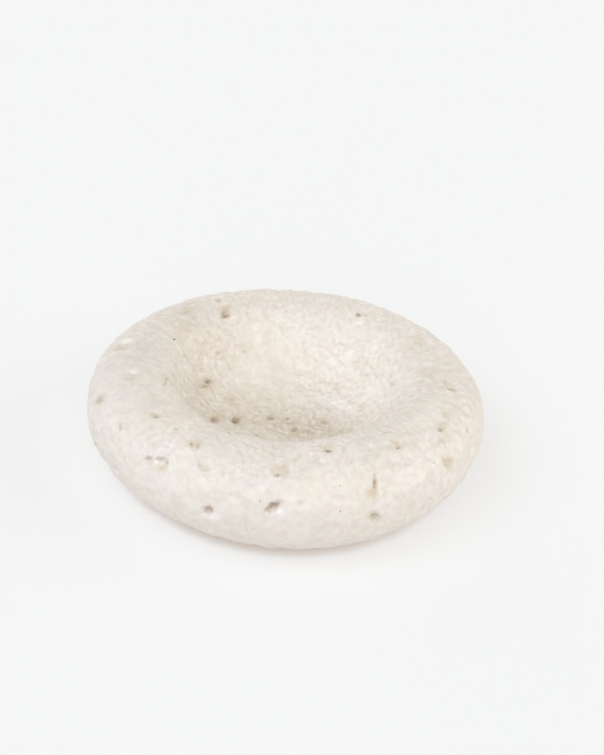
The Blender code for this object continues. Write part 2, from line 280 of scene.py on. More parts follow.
# Painted light: painted glints on pit lips and ridges, and painted brighter patches on the basin's far wall
PAINTED_LIGHT_px_shares = (
    (281, 512.5, 5.5, 5.5, 0, 1.0), (215.5, 516.5, 5.0, 5.0, 0, 1.0), (156, 462, 3.4, 2.4, 0, 0.9),
    (170, 470, 3.0, 4.0, 0, 0.5), (381, 512, 3.0, 4.0, 0, 0.5), (126, 341, 8.0, 3.0, 10, 0.8),
    (133, 372, 7.0, 2.6, 0, 0.8), (360, 322, 5.0, 3.4, 0, 0.9), (185, 452, 10.0, 3.0, 0, 0.4),
    (210, 459, 3.6, 3.0, 0, 0.5), (379, 484, 2.4, 8.0, 0, 0.4), (260, 463, 5.0, 2.4, 0, 0.5),
    (262, 488, 5.0, 3.0, 0, 0.5), (331, 401, 25.0, 2.6, -28, 0.7), (250, 381, 14.0, 1.6, 0, 0.4),
    (350, 408, 4.0, 3.0, 0, 0.7), (384, 390, 22.0, 26.0, 0, 0.4), (350, 350, 40.0, 30.0, 0, 0.4),
    (300, 335, 40.0, 20.0, 0, 0.3), (252, 372, 18.0, 14.0, 0, 0.25), (428, 415, 24.0, 20.0, 0, 0.3),
)
# Pinholes in the photograph: pixel, share of the full size, how strongly the hole's painted shade shows
PINHOLES_px_shares = (
    (174, 340, 1.5, 1.0), (229.5, 432.5, 1.5, 1.0), (288, 419, 1.2, 1.0), (340, 511, 1.0, 0.4),
    (340, 486, 1.0, 0.4), (434, 463, 1.0, 0.35), (260, 501, 1.0, 0.25), (218, 299, 1.0, 1.0),
)

# Tones of the glaze in the photograph: its pixel, reach in mm, how much grey painted shade, how much darker tan
# (partly pooled glaze, partly painted shade) and how calm it is there
TONES_px_mm = (
    (112, 372, 22, 0.50, 0.00, 0.0), (150, 348, 22, 0.50, 0.10, 0.0), (188, 316, 18, 0.30, 0.30, 0.0),
    (132, 398, 12, 0.40, 0.00, 0.3), (160, 405, 12, 0.20, 0.15, 0.0), (205, 408, 14, 0.00, 0.35, 0.0),
    (250, 414, 18, 0.00, 0.55, 0.3), (298, 428, 17, 0.00, 0.80, 0.0), (338, 432, 12, 0.00, 0.45, 0.0),
    (230, 350, 20, 0.00, 0.15, 0.0), (440, 420, 20, 0.00, 0.10, 0.0), (455, 375, 20, 0.10, 0.10, 0.0),
    (262, 352, 15, 0.00, 0.00, 0.5), (272, 384, 17, 0.00, 0.10, 0.8), (180, 490, 22, 0.00, 0.00, 0.5),
    (300, 530, 22, 0.00, 0.00, 0.5), (222, 440, 11, 0.40, 0.00, 0.0), (280, 452, 14, 0.25, 0.03, 0.0),
    (375, 452, 14, 0.12, 0.05, 0.0), (255, 492, 14, 0.15, 0.00, 0.0), (300, 296, 22, 0.12, 0.00, 0.0),
)

# Craters where the photograph doesn't show the bowl: some as the model has them, by stretch of the outline,
# share of the way along it, degrees around, sizes around and along and depth in mm, and the rest by chance
BACK_CRATERS_shares_mm = (
    ("shoulder", 0.05, 20, 7.6, 6.7, 1.0), ("shoulder", 0.45, 42, 6.2, 7.1, 1.0),
    ("shoulder", 0.22, 72, 8.1, 7.1, 1.3), ("side", 0.88, 98, 7.1, 5.7, 1.0),
    ("shoulder", 0.40, 121, 6.2, 7.6, 1.1), ("shoulder", 0.08, 155, 7.6, 6.2, 1.0),
)
UNSEEN_CRATERS = 50
UNSEEN_PINHOLES = 12
CRATER_SIZE = (3.0 * MM, 6.5 * MM)
CRATER_DEPTH_share = 0.18
CRATER_STRETCH_shares = (0.8, 1.25)
CRATER_DEEPER_shares = (0.5, 1.3)
CRATER_STAIN_shares = (0.25, 1.0)
PINHOLE_SIZE = 0.9 * MM
PINHOLE_DEPTH = 0.9 * MM
PIT_EDGE_share = 0.85
LIP_share = 0.10
LIP_WIDTH_share = 0.18
LONGEST_share = 2.2
RAGGED_share = 0.30
RAGGED_CELL = 1.6 * MM
COLOUR_EDGES_shares = {"brown": 1.25, "tan": 1.10, "white": 1.35, "hole": 0.75}
COLOUR_BEYOND_share = 1 / 3
MARK_REACH_share = 2
WIDER_share = 1.2
# The brown core and the tan halo of a crater: their size and their strength
CORE_shares = (0.55, 0.55)
HALO_shares = (1.15, 0.60)

# Patches in the glaze and the clay: size of their cells, how ragged they are, where a patch begins and where
# it is full, and what is left of it between patches
PATCHES_mm_shares = {
    "tint": (2.6, 3.0, 0.38, 0.62, 0.0),
    "drift": (12.0, 2.0, 0.38, 0.62, 0.0),
    "mottle": (3.4, 1.0, 0.38, 0.62, 0.0),
    "grey_shade": (5.0, 3.0, 0.38, 0.62, 0.45),
    "pool_and_shade": (3.0, 3.0, 0.38, 0.64, 0.25),
    "broken": (1.1, 3.0, 0.35, 0.62, 0.55),
    "speck": (1.1, 1.0, 0.62, 0.72, 0.0),
}
LINE_CELL = 0.9 * MM
LINE_LONG_share = 0.25
LINE_EDGES = (0.52, 0.70)
# Painted shade in the relief's hollows, partly standing for glaze pooled there: its edges and strength
VALLEY_SHADE_EDGES = (0.35, 0.90)
VALLEY_SHADE_share = 0.62
LINE_share = 0.30
MOTTLE_DARK_share = 0.10
MOTTLE_WHITE_share = 0.18
# How strong the painted light of the white places is
PAINTED_LIGHT_share = 0.85
BROWN_TAN_share = 0.8
ROUGHNESS = (0.38, 0.48)
GLOSS_CELL = 5.0 * MM
GLOSS_EDGES = (0.3, 0.7)
INNER_SMOOTHER = 0.12
CLAY_ROUGHNESS = 0.85
SKIN_CELL = 0.8 * MM
SKIN_BUMP = 0.04 * MM
LINE_BUMP = 0.22 * MM
FIBRE_CELL = 0.5 * MM
FIBRE_STRETCH = 3
FIBRE_EDGES = (0.12, 0.38)
FIBRE_BUMP = 0.12 * MM
# Occlusion range over which the painted contact shadow on the floor fades
CONTACT_SHADOW_EDGES = (0.25, 0.90)

# Colours in linear light
WHITE = (1.0, 1.0, 1.0, 1.0)
CREAM = (0.865, 0.785, 0.708, 1.0)
ROSE_CREAM = (0.840, 0.738, 0.680, 1.0)
OLIVE_CREAM = (0.800, 0.735, 0.605, 1.0)
# Lighter cream for the mottling, and the colour of the painted highlights and painted light
CREAM_AND_PAINTED_LIGHT = (0.930, 0.895, 0.840, 1.0)
# Darker cream: for the mottling and the combed lines, and as painted shade in the relief's hollows
SHADE_AND_DARK_CREAM = (0.600, 0.510, 0.435, 1.0)
# Grey painted shade, laid over parts of the rim and the near side
GREY_SHADE = (0.685, 0.632, 0.575, 1.0)
# Darker tan: partly glaze pooled in the basin, partly painted shade on its near floor and parts of the rim
POOL_AND_SHADE = (0.560, 0.460, 0.330, 1.0)
TAN = (0.635, 0.500, 0.345, 1.0)
# Brown: pooled glaze, and painted shade where the brown places stand for shade
BROWN_POOL_AND_SHADE = (0.215, 0.145, 0.088, 1.0)
# Painted shade inside the pinholes
PINHOLE_SHADE = (0.035, 0.022, 0.012, 1.0)
CLAY = (0.560, 0.490, 0.400, 1.0)
CLAY_SPECK = (0.300, 0.230, 0.160, 1.0)
FELT = (0.620, 0.570, 0.490, 1.0)
FELT_DARK = (0.420, 0.375, 0.310, 1.0)


def lobes(shares, angle):
    return sum(share * np.cos(count * (angle - math.radians(first))) for count, share, first in shares)


def smooth(values):
    """Eases from 0 to 1, flat beyond them."""
    t = np.clip(values, 0, 1)
    return t * t * (3 - 2 * t)


def arc(start, start_handle, end_handle, end, points=OUTLINE_POINTS):
    """Points (radius, height) of one curved stretch of an outline, without its last one."""
    corners = [Vector((x, y, 0)) for x, y in (start, start_handle, end_handle, end)]
    return [(p.x, p.y) for p in interpolate_bezier(*corners, points + 1)][:-1]


def between(start, end, share):
    return start[0] + (end[0] - start[0]) * share, start[1] + (end[1] - start[1]) * share


def straight(start, end):
    """Points (radius, height) of one straight stretch of an outline, without its last one."""
    return [between(start, end, t) for t in np.linspace(0, 1, OUTLINE_POINTS, endpoint=False)]


def rounded(before, corner, after):
    """The rounding of a corner between two straight stretches."""
    first = between(corner, before, CORNER_ROUND / math.dist(corner, before))
    last = between(corner, after, CORNER_ROUND / math.dist(corner, after))
    handles = between(first, corner, QUARTER_share), between(last, corner, QUARTER_share)
    return arc(first, *handles, last), first, last


def slope_direction():
    """The way up the basin's wall at its steepest: outwards and up."""
    slope = math.radians(SLOPE_DEGREES)
    return math.cos(slope), math.sin(slope)


def along(point, length):
    """A point this far up the basin's wall from another."""
    out, up = slope_direction()
    return point[0] + out * length, point[1] + up * length


def bowl_outline():
    """The outline's stretches by name, from the underside's middle round the rim to the basin's."""
    quarter = QUARTER_share
    centre = (0, RECESS_DEPTH)
    recess = (FOOT_INNER_RADIUS - RECESS_SLOPE, RECESS_DEPTH)
    band = (FOOT_INNER_RADIUS, 0)
    foot = (FOOT_OUTER_RADIUS, 0)
    equator = (OUTER_RADIUS, EQUATOR_HEIGHT)
    crest = (CREST_RADIUS, CREST_HEIGHT)
    slope = (SLOPE_RADIUS, SLOPE_HEIGHT)
    middle = (0, BASIN_HEIGHT)
    rise = (CREST_HEIGHT - SLOPE_HEIGHT) * quarter
    drop = (SLOPE_HEIGHT - BASIN_HEIGHT) * STRAIGHT_share
    upper_round, upper_first, upper_last = rounded(centre, recess, band)
    lower_round, lower_first, lower_last = rounded(recess, band, foot)
    return {
        "recess": straight(centre, upper_first) + upper_round,
        "step": straight(upper_last, lower_first) + lower_round,
        "foot": straight(lower_last, foot),
        "side": arc(foot, (foot[0] + (equator[0] - foot[0]) * quarter, 0),
                    (equator[0], equator[1] * (1 - quarter)), equator),
        "shoulder": arc(equator, (equator[0], equator[1] + (crest[1] - equator[1]) * quarter),
                        (crest[0] + (equator[0] - crest[0]) * quarter, crest[1]), crest),
        "lip": arc(crest, (crest[0] - (crest[0] - slope[0]) * quarter, crest[1]),
                   along(slope, rise), slope),
        "basin": arc(slope, along(slope, -drop), (slope[0] * FLAT_share, middle[1]), middle) + [middle],
    }


def hollow_outline():
    """Closed section of the hollow inside the rim, one wall in from the bowl's faces."""
    quarter = QUARTER_share
    out, up = slope_direction()
    low = ((FOOT_INNER_RADIUS + FOOT_OUTER_RADIUS) / 2, WALL)
    side = (OUTER_RADIUS - WALL, EQUATOR_HEIGHT)
    top = (CREST_RADIUS, CREST_HEIGHT - WALL)
    inner = (SLOPE_RADIUS + WALL * up, SLOPE_HEIGHT - WALL * out)
    rise = (top[1] - inner[1]) * quarter
    drop = (inner[1] - low[1]) * quarter
    outline = arc(low, (low[0] + (side[0] - low[0]) * quarter, low[1]),
                  (side[0], low[1] + (side[1] - low[1]) * (1 - quarter)), side, HOLLOW_POINTS)
    outline += arc(side, (side[0], side[1] + (top[1] - side[1]) * quarter),
                   (top[0] + (side[0] - top[0]) * quarter, top[1]), top, HOLLOW_POINTS)
    outline += arc(top, (top[0] - (top[0] - inner[0]) * quarter, top[1]),
                   along(inner, rise), inner, HOLLOW_POINTS)
    outline += arc(inner, along(inner, -drop), (inner[0], low[1]), low, HOLLOW_POINTS)
    return outline


def by_hand(radius, height, angle):
    """Positions as rows, with the lobes of the hand-shaped ring. The foot's plane stays flat."""
    wider = 1 + lobes(RADIUS_LOBES_shares, angle)
    higher = 1 + lobes(HEIGHT_LOBES_shares, angle) * height / CREST_HEIGHT
    return np.column_stack((radius * wider * np.cos(angle), radius * wider * np.sin(angle),
                            FOOT_PLANE + height * higher))


class Skin:
    """The bowl's outer surface by two measures: how far along the outline, and the angle around."""

    def __init__(self):
        stretches = bowl_outline()
        points = np.array([p for stretch in stretches.values() for p in stretch])
        lengths = np.hypot(*np.diff(points, axis=0).T)
        self.radius, self.height = points.T
        self.travel = np.concatenate(([0.0], np.cumsum(lengths)))
        self.start, first = {}, 0
        for name, stretch in stretches.items():
            self.start[name] = self.travel[first]
            first += len(stretch)
        self.end = self.travel[-1]

    def at(self, travel, angle):
        return by_hand(np.interp(travel, self.travel, self.radius),
                       np.interp(travel, self.travel, self.height), angle)

    def on(self, stretch, share, angle):
        """The place at a share of the way along one stretch of the outline."""
        first = list(self.start).index(stretch)
        last = np.searchsorted(self.travel, list(self.start.values())[first + 1])
        index = np.searchsorted(self.travel, self.start[stretch])
        travel = self.travel[index + round((last - index) * share)]
        return Vector(self.at(np.array([travel]), np.array([angle]))[0])

    def nearest(self, place):
        """How far along the outline the skin comes closest to a place."""
        angle = np.full(len(self.travel), math.atan2(place.y, place.x))
        apart = self.at(self.travel, angle) - np.array(place)
        return self.travel[np.argmin((apart ** 2).sum(axis=1))]

    def axes(self, travel, angle):
        """Unit rows: out of the clay, on along the outline, and around."""
        ahead = self.at(np.minimum(travel + FINE_STEP, self.end), angle)
        behind = self.at(np.maximum(travel - FINE_STEP, 0), angle)
        on = ahead - behind
        on /= np.linalg.norm(on, axis=1)[:, None]
        around = np.column_stack((-np.sin(angle), np.cos(angle), np.zeros_like(angle)))
        out = np.cross(around, on)
        return out / np.linalg.norm(out, axis=1)[:, None], on, around


class Noise:
    """Smooth noise in space, about -1 to 1: a seeded slope at each whole number, blended between them."""

    CODES = 256
    LIFT = 1.6

    def __init__(self, seed):
        chance = np.random.default_rng(seed)
        self.order = chance.permutation(self.CODES)
        slopes = chance.normal(size=(self.CODES, 3))
        self.slopes = slopes / np.linalg.norm(slopes, axis=1)[:, None]

    def at(self, places):
        low = np.floor(places).astype(int)
        part = places - low
        ease = part ** 3 * (part * (part * 6 - 15) + 10)
        total = np.zeros(len(places))
        for corner in itertools.product((0, 1), repeat=3):
            code = np.zeros(len(places), int)
            for axis in range(3):
                code = self.order[(code + low[:, axis] + corner[axis]) % self.CODES]
            weight = np.prod(np.where(corner, ease, 1 - ease), axis=1)
            total += weight * ((part - corner) * self.slopes[code]).sum(axis=1)
        return total * self.LIFT


def ring_places(skin):
    """How far along the outline each ring of points lies: close where the bowl shows, wide underneath."""
    stretches = (("recess", "foot", UNDER_STEP), ("foot", "side", FOOT_STEP), ("side", "end", FINE_STEP))
    ends = dict(skin.start, end=skin.end)
    places = []
    for first, last, step in stretches:
        count = round((ends[last] - ends[first]) / step)
        places += list(np.linspace(ends[first], ends[last], count, endpoint=False))
    return np.array(places[1:])


def ring_counts(skin, places):
    """Points around each ring: a power of two that keeps them close, and neighbours at most twice apart."""
    radius = np.interp(places, skin.travel, skin.radius)
    wanted = np.where(places < skin.start["foot"], UNDER_STEP, FINE_STEP * AROUND_share)
    counts = 2.0 ** np.ceil(np.log2(np.maximum(math.tau * radius / wanted, LEAST_AROUND)))
    counts = np.minimum(counts, MOST_AROUND).astype(int)
    for first, second in ((range(1, len(counts)), -1), (range(len(counts) - 2, -1, -1), 1)):
        for i in first:
            counts[i] = min(counts[i], counts[i + second] * 2)
    return counts


def ring_faces(start, count, next_start, next_count):
    """Faces between two rings. Where one has twice the other's points, three triangles meet each pair."""
    faces = []
    for i in range(min(count, next_count)):
        j = (i + 1) % min(count, next_count)
        if count == next_count:
            faces.append((start + i, start + j, next_start + j, next_start + i))
        elif count > next_count:
            a, b, c = start + 2 * i, start + 2 * i + 1, start + 2 * j
            faces += [(a, b, next_start + i), (b, next_start + j, next_start + i), (b, c, next_start + j)]
        else:
            a, b, c = next_start + 2 * i, next_start + 2 * i + 1, next_start + 2 * j
            faces += [(start + i, b, a), (start + i, start + j, b), (start + j, c, b)]
    return faces


def rings_mesh(name, places, counts):
    """A closed mesh: a first point, rings with these counts of points, and a last point."""
    starts = [1 + sum(counts[:i]) for i in range(len(counts))]
    faces = [(0, 1 + (i + 1) % counts[0], 1 + i) for i in range(counts[0])]
    for i in range(len(counts) - 1):
        faces += ring_faces(starts[i], counts[i], starts[i + 1], counts[i + 1])
    faces += [(starts[-1] + i, starts[-1] + (i + 1) % counts[-1], len(places) - 1) for i in range(counts[-1])]
    mesh = bpy.data.meshes.new(name)
    mesh.from_pydata(places.tolist(), [], faces)
    return mesh


def skin_mesh(skin):
    """The fine mesh before anything is pressed into it. Each point keeps its place along and around."""
    places = ring_places(skin)
    counts = [int(count) for count in ring_counts(skin, places)]
    travel = np.concatenate([[0.0]] + [np.full(n, place) for place, n in zip(places, counts)] + [[skin.end]])
    angle = np.concatenate([[0.0]] + [np.arange(n) * math.tau / n for n in counts] + [[0.0]])
    mesh = rings_mesh("bowl", skin.at(travel, angle), counts)
    write_values(mesh, "travel", travel)
    write_values(mesh, "across", np.cos(angle))
    write_values(mesh, "back", np.sin(angle))
    return mesh


def write_values(mesh, name, values):
    attribute = mesh.attributes.get(name) or mesh.attributes.new(name, "FLOAT", "POINT")
    attribute.data.foreach_set("value", np.asarray(values, np.float32))


def read_values(mesh, name):
    values = np.empty(len(mesh.vertices), np.float32)
    mesh.attributes[name].data.foreach_get("value", values)
    return values.astype(float)


def positions(mesh):
    values = np.empty(len(mesh.vertices) * 3, np.float32)
    mesh.vertices.foreach_get("co", values)
    return values.reshape(-1, 3).astype(float)


def placed(name, mesh):
    item = bpy.data.objects.new(name, mesh)
    bpy.context.scene.collection.objects.link(item)
    return item


def hollow_cutter():
    """The ring-shaped hollow of the rim."""
    outline = np.array(hollow_outline())
    count = len(outline)
    places, faces = [], []
    for step in range(HOLLOW_STEPS):
        angle = np.full(count, step * math.tau / HOLLOW_STEPS)
        places += by_hand(outline[:, 0], outline[:, 1], angle).tolist()
        here, there = step * count, (step + 1) % HOLLOW_STEPS * count
        for i in range(count):
            j = (i + 1) % count
            faces.append((here + i, there + i, there + j, here + j))
    mesh = bpy.data.meshes.new("rim_hollow")
    mesh.from_pydata(places, [], faces)
    form = bmesh.new()
    form.from_mesh(mesh)
    bmesh.ops.recalc_face_normals(form, faces=form.faces)
    form.to_mesh(mesh)
    form.free()
    return placed("rim_hollow", mesh)


def vent_cutter():
    """The round hole through the underside into the hollow."""
    innermost = min(radius for radius, height in hollow_outline())
    form = bmesh.new()
    bmesh.ops.create_cone(form, cap_ends=True, segments=VENT_STEPS, radius1=VENT_RADIUS, radius2=VENT_RADIUS,
                          depth=SLOPE_HEIGHT - WALL)
    bmesh.ops.translate(form, verts=form.verts, vec=(innermost + VENT_LAND + VENT_RADIUS, 0, FOOT_PLANE))
    mesh = bpy.data.meshes.new("vent_hole")
    form.to_mesh(mesh)
    form.free()
    return placed("vent_hole", mesh)


def cut_out(item, cutters):
    """Takes the cutters out of the piece for good, and removes them."""
    for cutter in cutters:
        change = item.modifiers.new(cutter.name, "BOOLEAN")
        change.operation = "DIFFERENCE"
        change.solver = "EXACT"
        change.object = cutter
    bpy.context.view_layer.update()
    shaped = bpy.data.meshes.new_from_object(item.evaluated_get(bpy.context.evaluated_depsgraph_get()))
    item.modifiers.clear()
    item.data = shaped
    for cutter in cutters:
        bpy.data.objects.remove(cutter, do_unlink=True)


def camera_ray(camera, pixel):
    """From the camera through a pixel of the photograph's frame."""
    toward = Vector((pixel[0] - FRAME_WIDTH_px / 2, FRAME_HEIGHT_px / 2 - pixel[1], -FOCAL_px))
    return camera.matrix_world.translation, (camera.matrix_world.to_3x3() @ toward).normalized()


def unseen_places(skin, item, camera, chance, count):
    """Chance places on the glazed skin that the camera doesn't see."""
    eye = camera.matrix_world.translation
    found = []
    while len(found) < count:
        travel = chance.uniform(skin.start["side"] + RELIEF_START, skin.end - SLOPE_RADIUS / 2)
        angle = chance.uniform(0, math.tau)
        radius = np.interp(travel, skin.travel, skin.radius)
        spare = chance.uniform(0, 1) * OUTER_RADIUS > radius
        place = Vector(skin.at(np.array([travel]), np.array([angle]))[0])
        hit = item.ray_cast(eye, (place - eye).normalized())
        if not spare and (hit[1] - place).length > CRATER_SIZE[1]:
            found.append(place)
    return found


def seen_mark(item, camera, x, y, wide, high, lean):
    """Middle of a mark seen at a pixel, and its two half axes on the skin, from its size in the picture."""
    eye, toward = camera_ray(camera, (x, y))
    hit, middle, normal, face = item.ray_cast(eye, toward)
    cos, sin = math.cos(math.radians(lean)), math.sin(math.radians(lean))
    axes = []
    for size, aside, down in ((wide, cos, -sin), (high, sin, cos)):
        beside = camera_ray(camera, (x + size * aside, y + size * down))[1]
        axis = eye + beside * ((middle - eye).dot(normal) / beside.dot(normal)) - middle
        longest = LONGEST_share * size * CAMERA_DISTANCE / FOCAL_px
        axes.append(axis * min(1, longest / axis.length))
    return middle, axes[0], axes[1]


def lying_mark(skin, middle, around, along_it, lean):
    """The same for a mark that isn't in the picture, from its sizes around and along the outline."""
    turned = math.atan2(middle.y, middle.x)
    travel = skin.nearest(middle)
    out, on, beside = (Vector(rows[0]) for rows in skin.axes(np.array([travel]), np.array([turned])))
    first = beside * math.cos(lean) + on * math.sin(lean)
    return middle, first * around / 2, first.cross(out) * along_it / 2


def marks(skin, item, camera):
    """Every hollow with its depth, and every coloured place with its kind and strength."""
    chance = np.random.default_rng(SEED)
    pits = [(*seen_mark(item, camera, *row[:5]), row[5] * PIT_DEEPER_share * MM) for row in PITS_px_mm]
    coloured = {"tan": TAN_px_shares, "brown": BROWN_AND_SHADE_px_shares, "white": PAINTED_LIGHT_px_shares}
    stains_and_painted_light = [(*seen_mark(item, camera, *place), kind, strength)
              for kind, rows in coloured.items() for *place, strength in rows]
    holes = [(seen_mark(item, camera, x, y, 1, 1, 0)[0], *shares) for x, y, *shares in PINHOLES_px_shares]
    holes += [(place, 1, 1) for place in unseen_places(skin, item, camera, chance, UNSEEN_PINHOLES)]
    for middle, size, strength in holes:
        hole = lying_mark(skin, middle, size * PINHOLE_SIZE, size * PINHOLE_SIZE, 0)
        pits.append((*hole, PINHOLE_DEPTH))
        stains_and_painted_light.append((*hole, "hole", strength))
    craters = [(skin.on(stretch, share, math.radians(degrees)), around * MM, along_it * MM, depth * MM, 0)
               for stretch, share, degrees, around, along_it, depth in BACK_CRATERS_shares_mm]
    for place in unseen_places(skin, item, camera, chance, UNSEEN_CRATERS):
        size, stretch = chance.uniform(*CRATER_SIZE), chance.uniform(*CRATER_STRETCH_shares)
        depth = size * CRATER_DEPTH_share * chance.uniform(*CRATER_DEEPER_shares)
        craters.append((place, size * stretch, size / stretch, depth, chance.uniform(0, math.pi)))
    for place, around, along_it, depth, lean in craters:
        middle, first, second = lying_mark(skin, place, around, along_it, lean)
        strength = chance.uniform(*CRATER_STAIN_shares)
        pits.append((middle, first, second, depth))
        for kind, (wide, strong) in (("tan", HALO_shares), ("brown", CORE_shares)):
            stains_and_painted_light.append((middle, first * wide, second * wide, kind, strength * strong))
    return pits, stains_and_painted_light


def glaze_tones(item, camera):
    """Where the glaze has another tone: middle, reach, and how much grey painted shade, how much darker tan
    (partly pooled glaze, partly painted shade) and how calm it is.
    """
    found = []
    for x, y, reach, *shares in TONES_px_mm:
        hit = item.ray_cast(*camera_ray(camera, (x, y)))
        found.append((hit[1], reach * MM, shares))
    return found


def refine(mesh, found, smallest, reach_share):
    """Splits the faces around the marks that are at most this small, so that they get enough points."""
    places = positions(mesh)
    near = np.zeros(len(places), bool)
    for middle, first, second, *rest in found:
        size = max(first.length, second.length)
        if size <= smallest:
            near |= ((places - np.array(middle)) ** 2).sum(axis=1) < (size * reach_share + FINE_STEP) ** 2
    edges = np.empty(len(mesh.edges) * 2, np.int32)
    mesh.edges.foreach_get("vertices", edges)
    chosen = np.flatnonzero(near[edges.reshape(-1, 2)].all(axis=1))
    form = bmesh.new()
    form.from_mesh(mesh)
    form.edges.ensure_lookup_table()
    bmesh.ops.subdivide_edges(form, edges=[form.edges[i] for i in chosen], cuts=1, use_grid_fill=True)
    bmesh.ops.triangulate(form, faces=[face for face in form.faces if len(face.verts) > 4])
    form.to_mesh(mesh)
    form.free()


def ramp(skin, travel, stretch, following, shares):
    """Eases from 0 to 1 between two shares of the way along a stretch of the outline."""
    length = skin.start[following] - skin.start[stretch]
    return smooth(((travel - skin.start[stretch]) / length - shares[0]) / (shares[1] - shares[0]))


def relief(skin, places, ring, travel, angle, noises):
    """How deep the hand-worked surface lies at each place: wide forms, fine forms, and where it is combed."""
    swell, dent, lump, worm, comb, ripple, grain, *bends = noises
    bend = BEND * np.column_stack([bend.at(places / BEND_CELL) for bend in bends])
    up_shoulder = ramp(skin, travel, "shoulder", "lip", COMB_START_shares)
    down_lip = ramp(skin, travel, "lip", "basin", COMB_END_shares)
    beside = sum(np.exp(-((np.mod(np.degrees(angle) - middle + 180, 360) - 180) / reach) ** 2)
                 for middle, reach in COMBED_DEGREES)
    combed = up_shoulder * (1 - down_lip) * np.minimum(beside, 1)
    rippled = 1 - ramp(skin, travel, "shoulder", "lip", RIPPLES_END_shares)
    on_floor = smooth((travel - skin.start["basin"]) / (skin.end - skin.start["basin"]))
    wormed = (1 - combed) * (SIDE_WORM_share + (RIM_WORM_share - SIDE_WORM_share) * up_shoulder
                             + (1 - RIM_WORM_share) * down_lip - (1 - FLOOR_WORM_share) * on_floor)
    moved, bent_ring = places + bend, ring + bend
    worms = np.tanh(worm.at(moved / WORM_CELL))
    combs = np.tanh(comb.at(bent_ring / (COMB_ACROSS, COMB_ACROSS, COMB_ALONG)))
    lumps = lump.at(moved / LUMP_CELL)
    ripples = ripple.at(bent_ring / (RIPPLE_AROUND, RIPPLE_AROUND, RIPPLE_ALONG))
    low = 1 - smooth((travel - skin.start["side"]) / (skin.start["shoulder"] - skin.start["side"]))
    wide = sum(depth * (1 - noise.at(places / cell) * (1 - low * (1 - LOW_WIDE_share))) / 2
               for noise, cell, depth in ((swell, SWELL_CELL, SWELL_DEPTH), (dent, DENT_CELL, DENT_DEPTH)))
    lumpy = LUMP_SIDE_share + (1 - LUMP_SIDE_share) * up_shoulder
    grainy = GRAIN_SIDE_share + (1 - GRAIN_SIDE_share) * up_shoulder
    fine = sum(depth * share * (1 - noise) / 2 for depth, share, noise in (
        (LUMP_DEPTH, (1 - combed / 2) * lumpy, lumps), (WORM_DEPTH, wormed, worms), (COMB_DEPTH, combed, combs),
        (RIPPLE_DEPTH, rippled, ripples), (GRAIN_DEPTH, grainy, grain.at(moved / GRAIN_CELL))))
    # The hollows' mask, which the glaze darkens as painted shade, partly as glaze pooled in them
    plain = PLAIN_HOLLOW_SHADE_share * np.maximum(1 - wormed - combed, 0)
    hollow = (wormed * (1 - worms) + combed * (1 - combs) + plain * (1 - np.tanh(2 * lumps))) / 2
    return wide, fine, hollow, combed, down_lip


def within_model(places, out, raised):
    """Eases what is raised above the skin so that it stays inside the model's own box."""
    faces = np.where(out > 0, np.array(CAD_BOUNDS[1]), np.array(CAD_BOUNDS[0]))
    steep = np.where(out > 0, 1, -1) * np.maximum(np.abs(out), SLIGHT_share)
    room = ((faces - places) / steep).min(axis=1) - BOX_CLEARANCE
    eased = room * (1 - np.exp(-np.maximum(raised, 0) / np.maximum(room, BOX_CLEARANCE)))
    return np.minimum(np.where(raised > 0, eased, raised), room)


def mark_distance(places, middle, first, second):
    """Which points lie near a mark, and how far out each of them is in it: 1 at its edge."""
    apart = places - np.array(middle)
    reach = MARK_REACH_share * max(first.length, second.length)
    near = np.flatnonzero((apart ** 2).sum(axis=1) < reach ** 2)
    axes = np.array((first, second))
    return near, np.hypot(*(np.linalg.inv(axes @ axes.T) @ axes @ apart[near].T))


